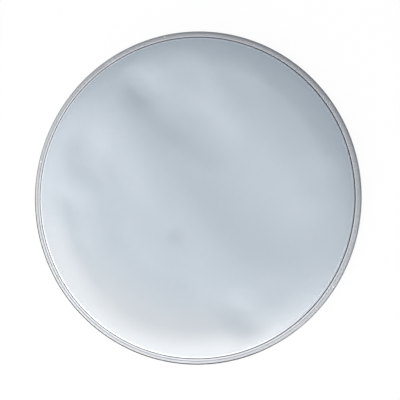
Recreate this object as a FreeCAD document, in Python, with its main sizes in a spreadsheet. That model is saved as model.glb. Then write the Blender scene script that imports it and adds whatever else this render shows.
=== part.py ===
import FreeCAD, Part
import Sketcher
import math
import os

# Drum head: a formed polyester film whose tabbed hem is cast into an aluminium channel hoop.
# Frame: Z is the axis of the ring and points up out of the playing face.
# The origin is the centre of the hoop's underside. Lengths are millimetres, angles degrees.

NAMED_SIZES = {
    # drum shell that the hoop slips over
    "shell_diameter": 355.6,
    "shell_clearance": 0.8,
    # channel section of the hoop
    "hoop_width": 8.1,
    "hoop_height": 8.0,
    "hoop_wall": 0.7,
    "inner_wall_drop": 1.0,
    "shoulder_radius": 2.0,
    "shoulder_facet_share": 0.293,
    "bead_width": 3.8,
    "bead_slope": 0.9,
    "groove_depth": 0.7,
    "ridge_width": 1.9,
    "ridge_drop": 0.35,
    "lip_thickness": 1.6,
    "lip_gap": 0.5,
    # butt joint of the hoop and the tongue that bridges it
    "joint_azimuth": 122.0,
    "joint_gap": 0.25,
    "tongue_length": 24.0,
    "tongue_width": 3.0,
    "tongue_thickness": 0.8,
    # formed film
    "film_gauge": 0.254,
    "film_rise": 4.0,
    "crown_width": 30.0,
    "crown_radius": 290.0,
    "crest_radius": 2.8,
    "crest_bend": 45.0,
    "brow_radius": 1.6,
    "collar_lean": 14.0,
    "foot_drop": 0.2,
    "hem_clearance": 0.1,
    "flange_lift": 1.3,
    "flange_clearance": 0.8,
    "tab_count": 18,
    "tab_gap": 4.0,
    "tab_length": 2.6,
    "tab_overrun": 2.0,
    # cast resin
    "resin_shortfall": 0.8,
}

# Sizes that follow from the named ones, in an order that can be worked through.
FOLLOWING_SIZES = {
    "bore_radius": "shell_diameter / 2 + shell_clearance",
    "hoop_radius": "bore_radius + hoop_width",
    "channel_inside": "bore_radius + hoop_wall",
    "channel_outside": "hoop_radius - hoop_wall",
    "channel_ceiling": "hoop_height - lip_thickness",
    "inner_wall_top": "hoop_height - inner_wall_drop",
    "shoulder_foot": "hoop_height - shoulder_radius",
    "shoulder_facet_radius": "hoop_radius - shoulder_radius * shoulder_facet_share",
    "shoulder_facet_height": "hoop_height - shoulder_radius * shoulder_facet_share",
    "land_outside": "hoop_radius - shoulder_radius",
    "groove_radius": "hoop_radius - bead_width",
    "groove_height": "hoop_height - groove_depth",
    "land_inside": "groove_radius + bead_slope",
    "hem_radius": "channel_inside + hem_clearance",
    "lip_radius": "hem_radius + film_gauge + lip_gap",
    "ridge_outside": "lip_radius + ridge_width",
    "ridge_height": "hoop_height - ridge_drop",
    "channel_middle": "bore_radius + hoop_width / 2",
    "joint_angle": "joint_gap / channel_middle * 180 / pi",
    "hoop_angle": "360 - joint_angle",
    "hoop_turn": "joint_azimuth + 180",
    "tongue_inside": "channel_middle - tongue_width / 2",
    "tongue_outside": "channel_middle + tongue_width / 2",
    "tongue_top": "hoop_wall + tongue_thickness",
    "tongue_angle": "tongue_length / channel_middle * 180 / pi",
    "film_underside": "hoop_height + film_rise - film_gauge",
    "foot_height": "hoop_height - foot_drop",
    "wall_slope": "collar_lean - 90",
    "flange_underside": "hoop_wall + flange_lift",
    "flange_radius": "channel_outside - flange_clearance",
    "tab_inside": "flange_radius - tab_length",
    "tab_outside": "flange_radius + tab_overrun",
    "tab_half_gap": "tab_gap / 2",
    "resin_depth": "channel_ceiling - hoop_wall - resin_shortfall",
}

# How a sketch numbers the points of a curve, and its own axes
START, END, CENTRE = range(1, 4)
X_AXIS, Y_AXIS = range(-1, -3, -1)
ORIGIN = (X_AXIS, START)

doc = FreeCAD.newDocument("drum_head")


# Sheet of sizes

def fill_sheet():
    sheet = doc.addObject("Spreadsheet::Sheet", "Sizes")
    row = 0
    for name, value in NAMED_SIZES.items():
        row += 1
        sheet.set(f"A{row}", name)
        sheet.set(f"B{row}", str(value))
        sheet.setAlias(f"B{row}", name)
    for name, formula in FOLLOWING_SIZES.items():
        row += 1
        sheet.set(f"A{row}", name)
        sheet.set(f"B{row}", "=" + formula)
        sheet.setAlias(f"B{row}", name)
    doc.recompute()
    return sheet


sizes = fill_sheet()


def size(name):
    return float(sizes.get(name))


# Small helpers for sketches and features

def origin_feature(body, role):
    for feature in body.Origin.OriginFeatures:
        if feature.Role == role:
            return feature
    raise ValueError(role)


def new_body(label):
    body = doc.addObject("PartDesign::Body", label)
    body.Label = label
    return body


def new_sketch(body, name, role):
    sketch = body.newObject("Sketcher::SketchObject", name)
    sketch.AttachmentSupport = [(origin_feature(body, role), "")]
    sketch.MapMode = "FlatFace"
    return sketch


def add_line(sketch, start, end):
    segment = Part.LineSegment(FreeCAD.Vector(*start, 0), FreeCAD.Vector(*end, 0))
    return sketch.addGeometry(segment)


def add_arc(sketch, centre, radius, start_angle, end_angle):
    circle = Part.Circle(FreeCAD.Vector(*centre, 0), FreeCAD.Vector(0, 0, 1), radius)
    arc = Part.ArcOfCircle(circle, math.radians(start_angle), math.radians(end_angle))
    return sketch.addGeometry(arc)


def constrain(sketch, kind, *references):
    return sketch.addConstraint(Sketcher.Constraint(kind, *references))


def constrain_to(sketch, kind, references, size_name):
    index = sketch.addConstraint(Sketcher.Constraint(kind, *references, size(size_name)))
    sketch.setExpression(f"Constraints[{index}]", f"Sizes.{size_name}")


def turn_to(sketch, geometry, size_name):
    angle = math.radians(size(size_name))
    index = sketch.addConstraint(Sketcher.Constraint("Angle", geometry, angle))
    sketch.setExpression(f"Constraints[{index}]", f"Sizes.{size_name} * 1 deg")


def add_outline(sketch, corners):
    points = [tuple(size(name) if name else 0 for name in corner) for corner in corners]
    lines = []
    for start, end in zip(points, points[1:] + points[:1]):
        lines.append(add_line(sketch, start, end))
    for line, following, corner in zip(lines, lines[1:] + lines[:1], corners[1:] + corners[:1]):
        meet(sketch, line, END, following, START)
        radius, height = corner
        if radius:
            place_x(sketch, line, END, radius)
        if height:
            place_y(sketch, line, END, height)
        else:
            constrain(sketch, "PointOnObject", line, END, X_AXIS)


def place_x(sketch, geometry, point, size_name):
    constrain_to(sketch, "DistanceX", (*ORIGIN, geometry, point), size_name)


def place_y(sketch, geometry, point, size_name):
    constrain_to(sketch, "DistanceY", (*ORIGIN, geometry, point), size_name)


def meet(sketch, first, first_point, second, second_point):
    constrain(sketch, "Coincident", first, first_point, second, second_point)


def flow(sketch, first, first_point, second, second_point):
    constrain(sketch, "Tangent", first, first_point, second, second_point)


def revolve(body, name, sketch):
    feature = body.newObject("PartDesign::Revolution", name)
    feature.Profile = sketch
    feature.ReferenceAxis = (sketch, ["V_Axis"])
    return feature


def cut_upwards(body, name, sketch):
    feature = body.newObject("PartDesign::Pocket", name)
    feature.Profile = sketch
    feature.Type = "ThroughAll"
    feature.Reversed = True
    return feature


# Hoop: channel section turned round the axis, short of a full turn by the gap of its butt joint

HOOP_CORNERS = [
    ("bore_radius", None),
    ("hoop_radius", None),
    ("hoop_radius", "shoulder_foot"),
    ("shoulder_facet_radius", "shoulder_facet_height"),
    ("land_outside", "hoop_height"),
    ("land_inside", "hoop_height"),
    ("groove_radius", "groove_height"),
    ("ridge_outside", "ridge_height"),
    ("lip_radius", "ridge_height"),
    ("lip_radius", "channel_ceiling"),
    ("channel_outside", "channel_ceiling"),
    ("channel_outside", "hoop_wall"),
    ("channel_inside", "hoop_wall"),
    ("channel_inside", "inner_wall_top"),
    ("bore_radius", "inner_wall_top"),
]


def make_hoop():
    body = new_body("hoop")
    section = new_sketch(body, "hoop_section", "XZ_Plane")
    add_outline(section, HOOP_CORNERS)
    ring = revolve(body, "channel_ring", section)
    ring.Midplane = True
    ring.setExpression("Angle", "Sizes.hoop_angle * 1 deg")
    body.setExpression("Placement.Rotation.Angle", "Sizes.hoop_turn * 1 deg")
    doc.recompute()
    return body


# Film: playing face, crown, crest, collar wall, hem and tabbed flange

def film_section(sketch):
    gauge = size("film_gauge")
    crown = size("crown_radius")
    crest = size("crest_radius")
    brow = size("brow_radius")
    hem = size("hem_radius")
    face = size("film_underside")
    foot = size("foot_height")
    flange = size("flange_underside")
    rim = size("flange_radius")

    # directions square to the film where one stretch runs into the next
    crown_tilt = math.asin(size("crown_width") / crown)
    crest_end = math.pi / 2 - crown_tilt
    brow_end = crest_end - math.radians(size("crest_bend"))
    wall_end = math.radians(size("collar_lean"))
    outward = [(math.cos(angle), math.sin(angle)) for angle in (crest_end, brow_end, wall_end)]
    crest_out, brow_out, wall_out = outward

    crest_height = face - crown + (crown - crest) * crest_out[1]
    brow_height = crest_height + (crest - brow) * brow_out[1]
    wall_height = brow_height + brow * wall_out[1]
    wall_radius = hem - (wall_height - foot) * math.tan(wall_end)
    brow_radius = wall_radius - brow * wall_out[0]
    crest_radius = brow_radius - (crest - brow) * brow_out[0]
    crown_radius = crest_radius - (crown - crest) * crest_out[0]
    crown_centre = (crown_radius, face - crown)
    crest_centre = (crest_radius, crest_height)
    brow_centre = (brow_radius, brow_height)
    angles = [math.degrees(angle) for angle in (wall_end, brow_end, crest_end)]

    def face_chain(offset, foot_point):
        wall_top = (wall_radius + offset * wall_out[0], wall_height + offset * wall_out[1])
        plain = add_line(sketch, (0, face + offset), (crown_radius, face + offset))
        crown_arc = add_arc(sketch, crown_centre, crown + offset, angles[2], 90)
        crest_arc = add_arc(sketch, crest_centre, crest + offset, angles[1], angles[2])
        brow_arc = add_arc(sketch, brow_centre, brow + offset, angles[0], angles[1])
        wall = add_line(sketch, wall_top, foot_point)
        hem_wall = add_line(sketch, foot_point, (hem + offset, flange + offset))
        flange_face = add_line(sketch, (hem + offset, flange + offset), (rim, flange + offset))
        flow(sketch, plain, END, crown_arc, END)
        flow(sketch, crown_arc, START, crest_arc, END)
        flow(sketch, crest_arc, START, brow_arc, END)
        flow(sketch, brow_arc, START, wall, START)
        meet(sketch, wall, END, hem_wall, START)
        meet(sketch, hem_wall, END, flange_face, START)
        constrain(sketch, "Horizontal", plain)
        constrain(sketch, "Vertical", hem_wall)
        constrain(sketch, "Horizontal", flange_face)
        return plain, crown_arc, crest_arc, brow_arc, wall, hem_wall, flange_face

    kink = gauge * math.tan(wall_end / 2)
    below = face_chain(0, (hem, foot))
    above = face_chain(gauge, (hem + gauge, foot + kink))
    plain, crown_arc, crest_arc, brow_arc, wall, hem_wall, flange_face = below
    upper_plain, upper_crown, upper_crest, upper_brow, upper_wall, upper_hem, upper_flange = above
    middle = add_line(sketch, (0, face), (0, face + gauge))
    edge = add_line(sketch, (rim, flange), (rim, flange + gauge))

    meet(sketch, middle, START, plain, START)
    meet(sketch, middle, END, upper_plain, START)
    meet(sketch, edge, START, flange_face, END)
    meet(sketch, edge, END, upper_flange, END)
    meet(sketch, crown_arc, CENTRE, upper_crown, CENTRE)
    meet(sketch, crest_arc, CENTRE, upper_crest, CENTRE)
    meet(sketch, brow_arc, CENTRE, upper_brow, CENTRE)
    constrain(sketch, "Parallel", wall, upper_wall)
    constrain(sketch, "Vertical", edge)
    constrain(sketch, "PointOnObject", middle, START, Y_AXIS)
    constrain(sketch, "PointOnObject", middle, END, Y_AXIS)
    constrain_to(sketch, "DistanceY", (middle, START, middle, END), "film_gauge")
    constrain_to(sketch, "DistanceX", (hem_wall, END, upper_hem, END), "film_gauge")
    constrain_to(sketch, "DistanceY", (edge, START, edge, END), "film_gauge")
    constrain_to(sketch, "DistanceX", (crown_arc, END, crown_arc, START), "crown_width")
    constrain_to(sketch, "Radius", (crown_arc,), "crown_radius")
    constrain_to(sketch, "Radius", (crest_arc,), "crest_radius")
    constrain_to(sketch, "Radius", (brow_arc,), "brow_radius")
    turn_to(sketch, crest_arc, "crest_bend")
    turn_to(sketch, wall, "wall_slope")
    place_y(sketch, plain, START, "film_underside")
    place_x(sketch, hem_wall, START, "hem_radius")
    place_y(sketch, hem_wall, START, "foot_height")
    place_y(sketch, flange_face, START, "flange_underside")
    place_x(sketch, edge, START, "flange_radius")


def tab_cut(sketch):
    inside = size("tab_inside")
    outside = size("tab_outside")
    half_gap = size("tab_half_gap")
    left = add_line(sketch, (inside, -half_gap), (outside, -half_gap))
    outer = add_line(sketch, (outside, -half_gap), (outside, half_gap))
    right = add_line(sketch, (outside, half_gap), (inside, half_gap))
    inner = add_line(sketch, (inside, half_gap), (inside, -half_gap))
    meet(sketch, left, END, outer, START)
    meet(sketch, outer, END, right, START)
    meet(sketch, right, END, inner, START)
    meet(sketch, inner, END, left, START)
    constrain(sketch, "Horizontal", left)
    constrain(sketch, "Horizontal", right)
    constrain(sketch, "Vertical", outer)
    constrain(sketch, "Symmetric", left, START, right, END, X_AXIS)
    place_x(sketch, inner, START, "tab_inside")
    place_x(sketch, outer, START, "tab_outside")
    place_y(sketch, right, START, "tab_half_gap")


def make_film():
    body = new_body("film")
    section = new_sketch(body, "film_section", "XZ_Plane")
    film_section(section)
    revolve(body, "formed_film", section)
    doc.recompute()
    whole = body.Shape.Volume

    gap = new_sketch(body, "tab_gap", "XY_Plane")
    tab_cut(gap)
    notch = cut_upwards(body, "first_gap", gap)
    doc.recompute()
    one_gap = whole - body.Shape.Volume
    pattern = body.newObject("PartDesign::PolarPattern", "tab_gaps")
    pattern.Originals = [notch]
    pattern.Axis = (gap, ["N_Axis"])
    pattern.setExpression("Occurrences", "Sizes.tab_count")
    body.Tip = pattern
    doc.recompute()
    gaps = (whole - body.Shape.Volume) / one_gap
    if round(gaps) != round(size("tab_count")):
        raise ValueError("the hem is not fully tabbed")
    return body


# Tongue that bridges the joint on the floor of the channel

TONGUE_CORNERS = [
    ("tongue_inside", "hoop_wall"),
    ("tongue_outside", "hoop_wall"),
    ("tongue_outside", "tongue_top"),
    ("tongue_inside", "tongue_top"),
]


def make_tongue():
    body = new_body("joint_tongue")
    section = new_sketch(body, "tongue_section", "XZ_Plane")
    add_outline(section, TONGUE_CORNERS)
    arc = revolve(body, "curved_strip", section)
    arc.Midplane = True
    arc.setExpression("Angle", "Sizes.tongue_angle * 1 deg")
    body.setExpression("Placement.Rotation.Angle", "Sizes.joint_azimuth * 1 deg")
    doc.recompute()
    return body


# Resin cast round the hem and the tongue

def make_resin(film, tongue):
    pour = doc.addObject("Part::Cylinder", "resin_pour")
    pour.setExpression("Radius", "Sizes.channel_outside")
    pour.setExpression("Height", "Sizes.resin_depth")
    pour.setExpression("Placement.Base.z", "Sizes.hoop_wall")
    core = doc.addObject("Part::Cylinder", "resin_core")
    core.setExpression("Radius", "Sizes.hem_radius")
    core.setExpression("Height", "Sizes.resin_depth")
    core.setExpression("Placement.Base.z", "Sizes.hoop_wall")
    ring = doc.addObject("Part::Cut", "resin_blank")
    ring.Base = pour
    ring.Tool = core
    hemmed = doc.addObject("Part::Cut", "resin_round_hem")
    hemmed.Base = ring
    hemmed.Tool = film
    resin = doc.addObject("Part::Cut", "resin_ring")
    resin.Label = "resin_ring"
    resin.Base = hemmed
    resin.Tool = tongue
    doc.recompute()
    return resin


def main():
    hoop = make_hoop()
    film = make_film()
    tongue = make_tongue()
    resin = make_resin(film, tongue)
    doc.recompute()
    for item in doc.Objects:
        if "Invalid" in item.State or "Error" in item.State:
            raise ValueError(item.Name + " failed")
        if item.TypeId == "Sketcher::SketchObject" and not item.FullyConstrained:
            raise ValueError(item.Name + " is not fully constrained")
    os.makedirs("parts", exist_ok=True)
    for piece in (film, hoop, resin, tongue):
        shape = piece.Shape
        if shape.isNull() or not shape.isValid() or len(shape.Solids) != 1:
            raise ValueError(piece.Label + " is not one valid solid")
        shape.exportStep(f"parts/{piece.Label}.step")
        print(piece.Label, round(shape.Volume, 1), shape.BoundBox)


main()
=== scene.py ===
import bpy
import math
from mathutils import Matrix, Vector


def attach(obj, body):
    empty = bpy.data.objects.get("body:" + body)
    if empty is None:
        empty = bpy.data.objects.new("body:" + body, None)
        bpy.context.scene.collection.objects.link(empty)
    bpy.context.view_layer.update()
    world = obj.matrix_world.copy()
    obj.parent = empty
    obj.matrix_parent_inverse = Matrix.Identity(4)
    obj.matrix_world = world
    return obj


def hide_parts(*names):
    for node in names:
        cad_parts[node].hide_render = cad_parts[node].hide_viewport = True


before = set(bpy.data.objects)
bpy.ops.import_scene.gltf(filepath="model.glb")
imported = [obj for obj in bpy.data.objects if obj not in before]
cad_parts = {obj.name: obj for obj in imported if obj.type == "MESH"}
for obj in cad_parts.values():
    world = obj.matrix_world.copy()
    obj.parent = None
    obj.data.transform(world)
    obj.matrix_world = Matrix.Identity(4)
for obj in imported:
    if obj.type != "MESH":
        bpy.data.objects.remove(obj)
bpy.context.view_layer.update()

mm = 0.001
axisGuard = 1e-8  # keeps the heading round the ring defined on the axis
tolerances = {  # in millimetres
    "mergeSection": 0.001,
    "mergeSpun": 0.002,
    "pick": 0.01,  # a vertex this near is the one looked for
}
print("frame loaded, nodes:", ", ".join(sorted(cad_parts)))


# modelling helpers

def deselectAll():
    if bpy.context.object and bpy.context.object.mode != "OBJECT":
        bpy.ops.object.mode_set(mode="OBJECT")
    bpy.ops.object.select_all(action="DESELECT")


def startVertex(name, point):  # one loose vertex, left in edit mode to extrude from
    deselectAll()
    bpy.ops.mesh.primitive_plane_add(size=mm, location=(0, 0, 0))
    piece = bpy.context.object
    piece.name = piece.data.name = name
    bpy.ops.object.mode_set(mode="EDIT")
    bpy.ops.mesh.merge(type="CENTER")
    bpy.ops.transform.translate(value=(point[0] * mm, 0, point[1] * mm))
    return piece


def drawSection(name, points):  # points are radius and height in millimetres
    piece = startVertex(name, points[0])
    for here, there in zip(points, points[1:]):
        step = ((there[0] - here[0]) * mm, 0, (there[1] - here[1]) * mm)
        bpy.ops.mesh.extrude_region_move(TRANSFORM_OT_translate={"value": step})
    bpy.ops.mesh.select_all(action="SELECT")
    bpy.ops.mesh.remove_doubles(threshold=tolerances["mergeSection"] * mm)
    return piece


def selectParts(piece, kind, wanted):  # wanted takes a vertex position or a face centre
    bpy.ops.object.mode_set(mode="EDIT")
    bpy.ops.mesh.select_mode(type=kind)
    bpy.ops.mesh.select_all(action="DESELECT")
    bpy.ops.object.mode_set(mode="OBJECT")
    if kind == "VERT":
        for vertex in piece.data.vertices:
            vertex.select = wanted(vertex.co)
    else:
        for face in piece.data.polygons:
            face.select = wanted(face.center)
    bpy.ops.object.mode_set(mode="EDIT")


def roundCorner(piece, point, size, segments):
    corner = Vector((point[0], 0, point[1])) * mm
    selectParts(piece, "VERT", lambda place: (place - corner).length < tolerances["pick"] * mm)
    bpy.ops.mesh.bevel(offset=size * mm, segments=segments, affect="VERTICES")


def spinSection(piece, steps, angle, startAngle=0):
    bpy.ops.mesh.select_all(action="SELECT")
    if startAngle:
        bpy.ops.transform.rotate(value=-startAngle, orient_axis="Z", center_override=(0, 0, 0))
    bpy.ops.mesh.spin(steps=steps, angle=angle, center=(0, 0, 0), axis=(0, 0, 1))
    bpy.ops.mesh.select_all(action="SELECT")
    bpy.ops.mesh.remove_doubles(threshold=tolerances["mergeSpun"] * mm)
    bpy.ops.mesh.normals_make_consistent(inside=False)


def finishPiece(piece, material, node, smoothAngle):
    deselectAll()
    piece.select_set(True)
    bpy.context.view_layer.objects.active = piece
    bpy.ops.object.shade_smooth_by_angle(angle=math.radians(smoothAngle))
    piece.data.materials.clear()
    piece.data.materials.append(material)
    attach(piece, "root")
    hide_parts(node)
    piece.select_set(False)
    print(piece.name, "has", len(piece.data.polygons), "faces")


# shader helpers

class Wire:
    def __init__(self, bench, socket):
        self.bench = bench
        self.socket = socket

    def maths(self, operation, first, second):
        return self.bench.node("Math", {"operation": operation}, {0: first, 1: second})

    def __add__(self, other):
        return self.maths("ADD", self, other)

    def __radd__(self, other):
        return self.maths("ADD", other, self)

    def __sub__(self, other):
        return self.maths("SUBTRACT", self, other)

    def __rsub__(self, other):
        return self.maths("SUBTRACT", other, self)

    def __mul__(self, other):
        return self.maths("MULTIPLY", self, other)

    def __rmul__(self, other):
        return self.maths("MULTIPLY", other, self)

    def __truediv__(self, other):
        return self.maths("DIVIDE", self, other)

    def __pow__(self, other):
        return self.maths("POWER", self, other)


class Bench:  # a material or the world, and its nodes
    def __init__(self, name, kind="Material"):
        self.kind = kind
        self.owner = (bpy.data.worlds if kind == "World" else bpy.data.materials).new(name)
        self.owner.use_nodes = True
        self.tree = self.owner.node_tree
        self.tree.nodes.clear()

    def node(self, kind, settings=None, sockets=None, out=0):
        node = self.tree.nodes.new("ShaderNode" + kind)
        for key, value in (settings or {}).items():
            setattr(node, key, value)
        for key, value in (sockets or {}).items():
            if isinstance(value, Wire):
                self.tree.links.new(value.socket, node.inputs[key])
            else:
                node.inputs[key].default_value = value
        return Wire(self, node.outputs[out])

    def outputs(self, wire, names):  # several outputs of one node
        return [Wire(self, wire.socket.node.outputs[name]) for name in names]

    def place(self):
        return self.node("TexCoord", out="Object")

    def split(self, vector):
        return self.outputs(self.node("SeparateXYZ", None, {0: vector}), "XYZ")

    def polar(self, place):  # radius, heading round the ring, which has no seam, and height
        x, y, z = self.split(place)
        radius = (x * x + y * y + axisGuard) ** 0.5
        return radius, (x / radius, y / radius), z

    def facing(self, heading, azimuth):  # 1 on the azimuth and -1 opposite
        angle = math.radians(azimuth)
        return heading[0] * math.cos(angle) + heading[1] * math.sin(angle)

    def noise(self, vector, scale, detail, roughness):
        sockets = {"Vector": vector, "Scale": scale, "Detail": detail, "Roughness": roughness}
        return self.node("TexNoise", None, sockets)

    def ringNoise(self, heading, count, across, detail, roughness):  # laid round the ring
        x, y = (part * count for part in heading)
        laid = self.node("CombineXYZ", None, {"X": x, "Y": y, "Z": across})
        return self.noise(laid, 1, detail, roughness)

    def swing(self, noise, amount):  # a noise made to swing about nought
        return (noise - 0.5) * amount

    def mapRange(self, value, low, high, toLow=0.0, toHigh=1.0):
        settings = {"interpolation_type": "SMOOTHSTEP"}
        return self.node("MapRange", settings, {0: value, 1: low, 2: high, 3: toLow, 4: toHigh})

    def rise(self, value, span):  # 0 to 1 over a span in millimetres
        return self.mapRange(value, span[0] * mm, span[1] * mm)

    def near(self, place, point, span):  # 1 close to a point, 0 past the span, in millimetres
        centre = [part * mm for part in point]
        sockets = {0: place, 1: centre}
        away = self.node("VectorMath", {"operation": "DISTANCE"}, sockets, out="Value")
        return self.mapRange(away, span[0] * mm, span[1] * mm, 1.0, 0.0)

    def clamp(self, value):
        return self.node("Clamp", None, {"Value": value})

    def mixColour(self, factor, first, second, blend="MIX"):
        settings = {"data_type": "RGBA", "blend_type": blend}
        return self.node("Mix", settings, {"Factor": factor, 6: first, 7: second}, out=2)

    def bump(self, height, distance):  # distance in millimetres
        sockets = {"Height": height, "Distance": distance * mm, "Strength": 1.0}
        return self.node("Bump", None, sockets)

    def done(self, shader):
        output = self.tree.nodes.new("ShaderNodeOutput" + self.kind)
        self.tree.links.new(shader.socket, output.inputs["Surface"])
        return self.owner

    def principled(self, sockets):
        return self.done(self.node("BsdfPrincipled", None, sockets))


# film: playing face, crown, crest, collar wall, hem and tabbed flange

filmPlan = {  # lengths in millimetres, angles in degrees
    "faceHeight": 12.0,
    "faceRings": 46,
    "crown": (162.072, 12.0),  # corners of the outer side, radius and height
    "crownRound": 15.05,
    "crownSegments": 14,
    "crest": (179.055, 10.234),
    "crestRound": 1.85,
    "crestSegments": 9,
    "foot": (179.654, 7.831),
    "hemFoot": (179.654, 2.254),
    "tabRoot": (182.6, 2.254),
    "flangeEdge": (185.2, 2.254),
    "flangeTop": 3.0,  # the gaps between the tabs are cut below this
    "gauge": 0.254,
    "steps": 360,
    "tabs": 18,
    "blank": 193.0,  # radius of the flat disc that it is formed from
    "smoothAngle": 40.0,

    "ripplePick": 3.5,  # half width of the strip that a ripple is pulled by
    "ripples": [  # slack of the loose film: start, end, height and reach
        ((-81.6, 88.0), (30.8, -79.1), 0.47, 41.4),
        ((-32.6, 116.4), (89.0, -32.0), -0.90, 57.3),
        ((43.4, 127.4), (123.2, 52.9), 0.47, 44.1),
        ((-114.3, 69.1), (-77.4, -30.1), -0.43, 44.6),
        ((-135.4, 17.4), (-127.8, 10.5), 0.45, 23.3),
        ((55.7, -127.3), (61.0, -133.9), -0.68, 31.1),
        ((-20.4, -71.3), (-59.3, -36.3), 0.19, 25.3),
        ((-59.1, 124.0), (27.5, 59.7), -0.90, 32.9),
        ((111.8, -32.6), (52.8, -1.5), -0.90, 60.0),
        ((-140.5, 5.1), (-130.3, 52.1), -0.81, 37.6),
        ((-55.6, 120.7), (-66.9, 132.0), -0.35, 18.0),
        ((-128.7, -47.2), (-128.7, -31.2), -0.25, 28.0),
        ((56.3, 120.2), (45.0, 131.5), -0.35, 28.0),
        ((9.9, 105.0), (-3.9, 138.3), -0.35, 28.0),
        ((57.8, -133.9), (56.3, -132.5), -0.23, 18.0),
        ((138.9, 20.4), (137.1, 21.2), -0.35, 28.0),
        ((-33.3, 76.4), (22.2, 99.4), -0.26, 28.0),
        ((-23.7, -119.9), (-79.1, -96.9), 0.17, 28.0),
    ],

    "colour": (0.409, 0.469, 0.528, 1),
    "paleColour": (0.486, 0.544, 0.597, 1),
    "paleShare": 0.3,
    "clouds": (13, 5, 0.55),  # scale, detail and roughness of each noise
    "haze": (210, 4, 0.6),
    "grain": (2600, 2, 0.5),
    "lines": (3, 0.6),  # marks of the forming: detail and roughness
    "linesRound": 230,
    "linesAcross": 60,
    "tone": {"clouds": 0.5, "haze": 0.28, "grain": 0.2, "lines": 0.7},

    "highlightTintColour": (0.449, 0.478, 0.508, 1),  # painted highlight: the film turns whiter and less blue towards one side
    "highlightTintAzimuth": 248.0,
    "highlightTintSkew": 0.6,  # share of its reach that goes by the side
    "highlightTintDrift": 30.0,
    "highlightTintSpan": (88.0, 165.0),
    "smudgeColour": (0.36, 0.41, 0.455, 1),
    "smudge": (-20.5, -44.5, 12.0),
    "smudgeSpan": (0.5, 17.0),
    "smudgeShare": 0.3,
    "smudgeClouds": 0.6,

    "collarSpan": (166.0, 177.5),  # drawn thin by the forming
    "crestHighlightColour": (0.71, 0.75, 0.80, 1),  # painted highlight along the bend of the crest
    "crestSpan": (176.9, 178.0),
    "wallColour": (0.33, 0.35, 0.38, 1),  # collar wall, shaded by the slit
    "wallSpan": (179.3, 179.6),

    "alpha": 0.92,
    "alphaSwing": {"clouds": 0.05, "drawn": 0.03},
    "roughness": 0.25,
    "mottle": {"haze": 0.05, "grain": 0.04, "crest": 0.08},
    "ior": 1.65,
    "specular": 1.0,  # both sides of a clear film reflect
    "relief": {"grain": 0.3, "haze": 0.3, "lines": 1.2},
    "reliefHeight": 0.004,
}


def makeFilmMaterial(plan):
    bench = Bench("hazyPolyester")
    place = bench.place()
    radius, heading = bench.polar(place)[:2]
    clouds = bench.noise(place, *plan["clouds"])
    haze = bench.noise(place, *plan["haze"])
    grain = bench.noise(place, *plan["grain"])
    across = radius * plan["linesAcross"]
    lines = bench.ringNoise(heading, plan["linesRound"], across, *plan["lines"])
    drawn = bench.rise(radius, plan["collarSpan"])
    crest = bench.rise(radius, plan["crestSpan"])

    tone = plan["tone"]
    pale = bench.swing(clouds, tone["clouds"]) + bench.swing(haze, tone["haze"])
    pale = pale + bench.swing(grain, tone["grain"]) + bench.swing(lines, tone["lines"]) * drawn
    pale = bench.clamp(plan["paleShare"] + pale)
    colour = bench.mixColour(pale, plan["colour"], plan["paleColour"])

    # painted highlight: the film's colour turns whiter and less blue towards the lit side
    skew = plan["highlightTintSkew"]
    aside = radius * (1 - skew + bench.facing(heading, plan["highlightTintAzimuth"]) * skew)
    highlightTint = bench.rise(aside + bench.swing(clouds, plan["highlightTintDrift"] * mm), plan["highlightTintSpan"])
    colour = bench.mixColour(highlightTint, colour, plan["highlightTintColour"])
    smudge = bench.near(place, plan["smudge"], plan["smudgeSpan"])
    smudge = smudge * (plan["smudgeShare"] + clouds * plan["smudgeClouds"])
    colour = bench.mixColour(smudge, colour, plan["smudgeColour"])
    # painted highlight along the crest
    colour = bench.mixColour(crest, colour, plan["crestHighlightColour"])
    colour = bench.mixColour(bench.rise(radius, plan["wallSpan"]), colour, plan["wallColour"])

    mottle = plan["mottle"]
    roughness = plan["roughness"] + bench.swing(haze, mottle["haze"])
    roughness = roughness + bench.swing(grain, mottle["grain"]) + crest * mottle["crest"]
    thin = plan["alphaSwing"]
    alpha = plan["alpha"] + bench.swing(clouds, thin["clouds"]) - drawn * thin["drawn"]
    relief = plan["relief"]
    height = grain * relief["grain"] + haze * relief["haze"] + lines * drawn * relief["lines"]
    return bench.principled({
        "Base Color": colour, "Roughness": roughness, "Alpha": alpha,
        "Normal": bench.bump(height, plan["reliefHeight"]),
        "IOR": plan["ior"], "Specular IOR Level": plan["specular"],
    })


def nearLine(place, start, end):  # distance in plan from a stroke
    a, b = Vector(start) * mm, Vector(end) * mm
    along = b - a
    share = max(0.0, min(1.0, (place.xy - a).dot(along) / along.length_squared))
    return (place.xy - a - along * share).length


def pressRipple(piece, pick, start, end, height, reach):
    selectParts(piece, "VERT", lambda place: nearLine(place, start, end) < pick * mm)
    bpy.ops.transform.translate(
        value=(0, 0, height * mm), use_proportional_edit=True,
        proportional_edit_falloff="SMOOTH", proportional_size=reach * mm)


def cutTabGaps(film, plan):
    pitch = math.tau / plan["tabs"]
    halfStep = math.pi / plan["steps"]

    def isTabGap(centre):
        outside = centre.xy.length > plan["tabRoot"][0] * mm
        turn = (math.atan2(centre.y, centre.x) - halfStep) % pitch
        atGap = min(turn, pitch - turn) < halfStep
        return outside and atGap and centre.z < plan["flangeTop"] * mm
    selectParts(film, "FACE", isTabGap)
    bpy.ops.mesh.delete(type="FACE")


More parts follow.
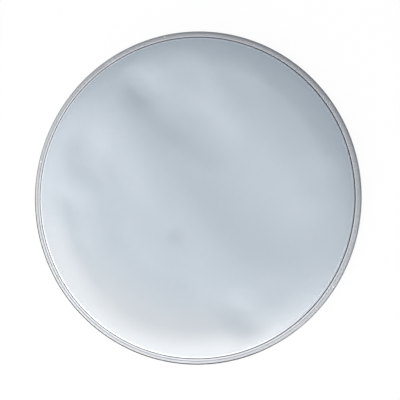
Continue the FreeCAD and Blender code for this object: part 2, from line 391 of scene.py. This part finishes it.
def makeFilm(plan):
    corners = ["crown", "crest", "foot", "hemFoot", "tabRoot", "flangeEdge"]
    points = [(0, plan["faceHeight"])] + [plan[corner] for corner in corners]
    film = drawSection("drumFilm", points)
    roundCorner(film, plan["crest"], plan["crestRound"], plan["crestSegments"])
    roundCorner(film, plan["crown"], plan["crownRound"], plan["crownSegments"])
    faceEdge = plan["crown"][0] - plan["crownRound"] + tolerances["pick"]
    selectParts(film, "VERT", lambda place: place.x < faceEdge * mm)
    bpy.ops.mesh.subdivide(number_cuts=plan["faceRings"])
    spinSection(film, plan["steps"], math.tau)
    cutTabGaps(film, plan)
    for ripple in plan["ripples"]:
        pressRipple(film, plan["ripplePick"], *ripple)
    bpy.ops.object.mode_set(mode="OBJECT")
    if film.data.polygons[0].normal.z < 0:  # the gauge goes on below the face
        bpy.ops.object.mode_set(mode="EDIT")
        bpy.ops.mesh.select_all(action="SELECT")
        bpy.ops.mesh.flip_normals()
        bpy.ops.object.mode_set(mode="OBJECT")
    gauge = film.modifiers.new("gauge", "SOLIDIFY")
    gauge.thickness = plan["gauge"] * mm
    gauge.offset = -1
    gauge.use_even_offset = True
    bpy.ops.object.modifier_apply(modifier=gauge.name)
    finishPiece(film, makeFilmMaterial(plan), "film", plan["smoothAngle"])


makeFilm(filmPlan)


# hoop: rolled channel with a bead, a groove and a lip that closes down on the hem

hoopPlan = {  # lengths in millimetres, angles in degrees
    "section": [  # radius, height and rounding of each corner
        (178.6, 0.0, 0.35),
        (186.7, 0.0, 0.8),
        (186.7, 7.64, 1.3),
        (182.85, 7.86, 0.22),
        (182.45, 7.6, 0.18),
        (182.054, 7.65, 0.2),
        (180.154, 7.65, 0.2),
        (180.154, 6.4, 0.15),
        (186.0, 6.4, 0.6),
        (186.0, 0.7, 0),
        (179.3, 0.7, 0),
        (179.3, 7.0, 0.2),
        (178.6, 7.0, 0.35),
    ],
    "wideRound": 0.6,  # corners rounder than this get more segments
    "wideSegments": 6,
    "closeSegments": 4,
    "steps": 360,
    "smoothAngle": 35.0,
    "jointAzimuth": 122.0,
    "jointGap": 0.25,
    "jointPick": 0.2,  # share of the gap within which a vertex is on its face
    "jointCentre": (183.5, 7.5),  # radius and height
    "jointSpan": (3.0, 6.5),  # filed round the joint; its lightening is partly filed metal and partly a painted highlight
    "jointHighlight": 0.12,
    "filedLeast": 0.5,

    "brightColour": (0.655, 0.667, 0.692, 1),
    "dullColour": (0.546, 0.556, 0.578, 1),
    "brightShare": 0.5,
    "acrossRadius": 5200,  # the rolling grain runs round the ring
    "acrossHeight": 4300,
    "grain": (7, 1.0, 4, 0.6),  # count round, share across, detail and roughness
    "streaks": (22, 0.22, 3, 0.5),
    "filed": (900, 0.04, 3, 0.5),
    "smudges": (70, 4, 0.6),  # scale, detail and roughness
    "patches": (17, 3, 0.5),
    "tone": {"grain": 0.4, "streaks": 0.6, "patches": 0.6},

    "beadShadeTint": (0.74, 0.742, 0.743, 1),  # painted shade, darkens the outer bead
    "beadSpan": (182.2, 182.5),
    "grooveShadeTint": (0.80, 0.80, 0.80, 1),  # painted shade in the groove
    "grooveRadius": 182.55,
    "grooveSpan": (0.2, 0.7),
    "lipShadeColour": (0.16, 0.163, 0.17, 1),  # painted shade on the lip's inner face and the bore, down in the slit
    "lipSpan": (180.3, 180.75),
    "edgeShadeColour": (0.30, 0.31, 0.325, 1),  # painted shade along the outer corner
    "edgeSpan": (185.9, 186.5),
    "sideColour": (0.54, 0.547, 0.575, 1),  # the wall keeps its mill skin
    "sideSpan": (5.8, 6.4),
    "cornerShadeColour": (0.03, 0.031, 0.033, 1),  # painted shade on the outer corner, heavier on one side
    "cornerShadeAzimuth": 236.0,
    "cornerShadeFacing": (0.1, 0.8),
    "cornerShadePatches": 0.3,
    "cornerShadeSpan": (185.25, 185.75),
    "cornerShadeHeights": (3.5, 5.5),
    "nicks": [-32.4, 34.0, 100.4, 166.8],  # azimuths of the marks left by the rollers
    "nickCentre": (184.2, 8.0),  # radius and height
    "nickSpan": (0.35, 1.0),
    # painted glints on the roller marks, near white; the dents themselves are bump
    "nickGlintColour": (0.9, 0.9, 0.9, 1),

    "roughness": 0.56,
    "mottle": {"grain": 0.1, "smudges": 0.12, "bead": -0.06, "cornerShade": 0.4},
    "relief": {"grain": 0.5, "streaks": 0.3, "filed": 0.8, "nicks": 4.0},
    "reliefHeight": 0.004,
}


def onRing(azimuth, radius, height):  # a point in millimetres from an azimuth in degrees
    angle = math.radians(azimuth)
    return radius * math.cos(angle), radius * math.sin(angle), height


def makeHoopMaterial(plan):
    bench = Bench("rolledAluminium")
    place = bench.place()
    radius, heading, z = bench.polar(place)
    across = radius * plan["acrossRadius"] + z * plan["acrossHeight"]

    def rolledNoise(count, share, detail, roughness):
        return bench.ringNoise(heading, count, across * share, detail, roughness)
    grain = rolledNoise(*plan["grain"])
    streaks = rolledNoise(*plan["streaks"])
    filed = rolledNoise(*plan["filed"])
    smudges = bench.noise(place, *plan["smudges"])
    patches = bench.noise(place, *plan["patches"])

    marks = [onRing(azimuth, *plan["nickCentre"]) for azimuth in plan["nicks"]]
    nicks = sum(bench.near(place, mark, plan["nickSpan"]) for mark in marks)
    # filed zone round the joint: real file marks in the bump, partly a painted highlight in the
    # colour
    joint = onRing(plan["jointAzimuth"], *plan["jointCentre"])
    filedAndHighlit = bench.near(place, joint, plan["jointSpan"])
    filedAndHighlit = filedAndHighlit * bench.clamp(plan["filedLeast"] + filed)
    bead = bench.rise(radius, plan["beadSpan"])
    lip = bench.rise(radius, plan["lipSpan"])
    edge = bench.rise(radius, plan["edgeSpan"])
    rolled = bench.rise(z, plan["sideSpan"])
    # painted shade in the groove, darkest at its middle
    offGroove = radius - plan["grooveRadius"] * mm
    fullShade, noShade = [(reach * mm) ** 2 for reach in plan["grooveSpan"]]
    groove = bench.mapRange(offGroove * offGroove, fullShade, noShade, 1.0, 0.0)
    # painted shade on the outer corner, heavier on one side; the same mask also roughens the
    # corner
    sided = bench.facing(heading, plan["cornerShadeAzimuth"])
    sided = sided + bench.swing(patches, plan["cornerShadePatches"])
    cornerShade = bench.mapRange(sided, *plan["cornerShadeFacing"])
    cornerShade = cornerShade * bench.rise(radius, plan["cornerShadeSpan"])
    cornerShade = cornerShade * bench.rise(z, plan["cornerShadeHeights"])

    tone = plan["tone"]
    shade = plan["brightShare"] + bench.swing(grain, tone["grain"])
    shade = shade + bench.swing(streaks, tone["streaks"]) + bench.swing(patches, tone["patches"])
    colour = bench.mixColour(bench.clamp(shade), plan["dullColour"], plan["brightColour"])
    # painted shade over the outer bead
    colour = bench.mixColour(bead, colour, plan["beadShadeTint"], "MULTIPLY")
    colour = bench.mixColour(groove, colour, plan["grooveShadeTint"], "MULTIPLY")
    # painted shade inside the lip, down in the slit
    colour = bench.mixColour(lip, plan["lipShadeColour"], colour)
    # painted shade along the outer corner
    colour = bench.mixColour(edge, colour, plan["edgeShadeColour"])
    colour = bench.mixColour(rolled, plan["sideColour"], colour)
    colour = bench.mixColour(cornerShade, colour, plan["cornerShadeColour"])
    # painted glints on the roller nicks and a painted highlight over the filed joint, mixed
    # towards near white
    bright = bench.clamp(nicks + filedAndHighlit * plan["jointHighlight"])
    colour = bench.mixColour(bright, colour, plan["nickGlintColour"])

    mottle = plan["mottle"]
    roughness = plan["roughness"] + bead * mottle["bead"] + cornerShade * mottle["cornerShade"]
    roughness = roughness + bench.swing(grain, mottle["grain"])
    roughness = roughness + bench.swing(smudges, mottle["smudges"])
    relief = plan["relief"]
    height = grain * relief["grain"] + streaks * relief["streaks"]
    height = height + filed * filedAndHighlit * relief["filed"] - nicks * relief["nicks"]
    return bench.principled({
        "Base Color": colour, "Roughness": roughness, "Metallic": 1.0,
        "Normal": bench.bump(height, plan["reliefHeight"]),
    })


def signedTurn(place, angle):  # how far round from an azimuth, in radians
    return (math.atan2(place.y, place.x) - angle + math.pi) % math.tau - math.pi


def makeHoop(plan):
    corners = [corner[:2] for corner in plan["section"]]
    hoop = drawSection("channelHoop", corners + corners[:1])
    for radius, height, rounding in plan["section"]:
        if rounding:
            wide = rounding > plan["wideRound"]
            segments = plan["wideSegments"] if wide else plan["closeSegments"]
            roundCorner(hoop, (radius, height), rounding, segments)
    gap = plan["jointGap"] / plan["section"][0][0]  # as an angle at the bore
    joint = math.radians(plan["jointAzimuth"])
    spinSection(hoop, plan["steps"], math.tau - gap, joint + gap / 2)
    reach = gap * plan["jointPick"]
    for side in (-gap / 2, gap / 2):  # close both faces of the joint
        selectParts(hoop, "VERT", lambda place: abs(signedTurn(place, joint) - side) < reach)
        bpy.ops.mesh.edge_face_add()
    bpy.ops.mesh.select_all(action="SELECT")
    bpy.ops.mesh.normals_make_consistent(inside=False)
    finishPiece(hoop, makeHoopMaterial(plan), "hoop", plan["smoothAngle"])


makeHoop(hoopPlan)


# resin and tongue keep their solids and get their finishes

resinPlan = {
    "colour": (0.08, 0.083, 0.09, 1),
    "paleColour": (0.13, 0.134, 0.145, 1),
    "flow": (45, 5, 0.6),  # scale, detail and roughness
    "bubbleScale": 900.0,
    "pits": (0.08, 0.2),
    "roughness": 0.42,
    "mottle": {"flow": 0.2, "pits": 0.15},
    "pitRelief": 0.6,
    "reliefHeight": 0.08,  # millimetres
}

tonguePlan = {
    "dullColour": (0.52, 0.52, 0.53, 1),
    "brightColour": (0.80, 0.80, 0.81, 1),
    "grain": (4, 0.5),  # detail and roughness
    "grainRound": 12,
    "grainAcross": 4200,
    "roughness": 0.36,
    "mottle": 0.16,
    "reliefHeight": 0.01,  # millimetres
}


def makeResinMaterial(plan):
    bench = Bench("castEpoxy")
    place = bench.place()
    flow = bench.noise(place, *plan["flow"])
    bubbles = bench.node("TexVoronoi", None, {"Vector": place, "Scale": plan["bubbleScale"]})
    pits = bench.mapRange(bubbles, *plan["pits"], 1.0, 0.0)
    mottle = plan["mottle"]
    roughness = plan["roughness"] + bench.swing(flow, mottle["flow"]) + pits * mottle["pits"]
    return bench.principled({
        "Base Color": bench.mixColour(flow, plan["colour"], plan["paleColour"]),
        "Roughness": roughness,
        "Normal": bench.bump(flow - pits * plan["pitRelief"], plan["reliefHeight"]),
    })


def makeTongueMaterial(plan):
    bench = Bench("shearedStrip")
    radius, heading = bench.polar(bench.place())[:2]
    across = radius * plan["grainAcross"]
    grain = bench.ringNoise(heading, plan["grainRound"], across, *plan["grain"])
    return bench.principled({
        "Base Color": bench.mixColour(grain, plan["dullColour"], plan["brightColour"]),
        "Roughness": plan["roughness"] + bench.swing(grain, plan["mottle"]),
        "Metallic": 1.0,
        "Normal": bench.bump(grain, plan["reliefHeight"]),
    })


def dressNode(name, material):
    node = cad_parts[name]
    node.data.materials.clear()
    node.data.materials.append(material)
    print(name, "keeps its solid, finished as", material.name)


dressNode("resin_ring", makeResinMaterial(resinPlan))
dressNode("joint_tongue", makeTongueMaterial(tonguePlan))


# studio: white floor, pale walls under a dark ceiling, soft boxes above, left and at the foot

studioPlan = {  # lengths in metres
    "floorSize": 12.0,
    "floorDrop": 0.2 * mm,
    "floorColour": (0.9, 0.9, 0.9, 1),
    "floorWhite": (1, 1, 1, 1),
    "floorGlow": 0.955,  # share that is plain white to the eye, the rest takes the shadow
    "floorRays": ("Is Camera Ray", "Is Glossy Ray", "Is Transmission Ray"),
    "ceiling": (0.107, 0.12, 0.137, 1),
    "walls": (0.67, 0.75, 0.86, 1),
    "wallFall": 2,  # how fast the walls darken upwards
    "plain": (1, 1, 1),
    "warm": (1.0, 0.96, 0.90),
    "boxes": [  # name, place, point looked at, azimuth of its depth, width, depth, power, colour
        ("broadBox", (-0.300, -0.195, 1.60), (-0.300, -0.195, 0), 56.6, 1.20, 1.20, 4.7, "plain"),
        ("rimBox", (-0.121, -0.605, 1.55), (-0.121, -0.605, 0), 98.3, 2.20, 0.30, 9.4, "plain"),
        ("keyBox", (-1.165, -0.080, 1.435), (0, 0, 0), 3.9, 1.10, 1.10, 8.5, "plain"),
        ("lowBox", (-1.578, -1.400, 0.624), (0, 0, 0), 41.6, 2.00, 0.90, 45.0, "warm"),
        ("footBox", (0.020, -2.152, 0.455), (0, 0, 0), 90.5, 2.00, 0.80, 29.2, "warm"),
    ],
}

cameraPlan = {
    "tilt": 11.6,  # degrees off the vertical
    "azimuth": -7.8,  # side that it leans to
    "lens": 110.0,
    "sensor": 36.0,
    "aim": (7.0 * mm, -2.9 * mm, 6.0 * mm),
    "width": 447.8 * mm,  # seen across at the aim
}


def makeFloorMaterial(plan):
    bench = Bench("whiteFloor")
    seen = bench.clamp(sum(bench.outputs(bench.node("LightPath"), plan["floorRays"])))
    matt = bench.node("BsdfDiffuse", None, {"Color": plan["floorColour"]})
    white = bench.node("Emission", None, {"Color": plan["floorWhite"], "Strength": 1.0})
    top = bench.node("MixShader", None, {0: seen * plan["floorGlow"], 1: matt, 2: white})
    fromBelow = bench.node("NewGeometry", out="Backfacing")
    clear = bench.node("BsdfTransparent")
    return bench.done(bench.node("MixShader", None, {0: fromBelow, 1: top, 2: clear}))


def makeWalls(plan):
    bench = Bench("studioWalls", "World")
    z = bench.split(bench.node("TexCoord", out="Generated"))[2]
    foot = bench.clamp(1 - z) ** plan["wallFall"]
    light = bench.mixColour(foot, plan["ceiling"], plan["walls"])
    return bench.done(bench.node("Background", None, {"Color": light, "Strength": 1.0}))


def standAlong(thing, side, up, back):  # turns it so that it looks away from back
    thing.rotation_euler = Matrix((side, up, back)).transposed().to_euler()


def makeStudio(plan):
    deselectAll()
    bpy.ops.mesh.primitive_plane_add(size=plan["floorSize"], location=(0, 0, -plan["floorDrop"]))
    floor = bpy.context.object
    floor.name = "studioFloor"
    floor.data.materials.append(makeFloorMaterial(plan))
    bpy.context.scene.world = makeWalls(plan)
    for name, place, target, azimuth, width, depth, power, colour in plan["boxes"]:
        bpy.ops.object.light_add(type="AREA", location=place)
        box = bpy.context.object
        box.name = name
        box.data.shape = "RECTANGLE"
        box.data.size = width
        box.data.size_y = depth
        box.data.energy = power
        box.data.color = plan[colour]
        back = (Vector(place) - Vector(target)).normalized()
        ahead = Vector(onRing(azimuth, 1, 0))
        side = ahead.cross(back).normalized()
        standAlong(box, side, back.cross(side), back)
    print("studio set, floor at", -plan["floorDrop"])


def makeCamera(plan):
    tilt = math.radians(plan["tilt"])
    back = Vector(onRing(plan["azimuth"], math.sin(tilt), math.cos(tilt)))
    side = Vector((0, 1, 0)).cross(back).normalized()
    bpy.ops.object.camera_add()
    camera = bpy.context.object
    camera.name = "overheadCamera"
    camera.data.lens = plan["lens"]
    camera.data.sensor_width = plan["sensor"]
    distance = plan["width"] * plan["lens"] / plan["sensor"]
    camera.location = Vector(plan["aim"]) + back * distance
    standAlong(camera, side, back.cross(side), back)
    bpy.context.scene.camera = camera
    print("camera stands", round(distance, 3), "m off")


makeStudio(studioPlan)
makeCamera(cameraPlan)
bpy.context.scene.view_settings.view_transform = "Standard"
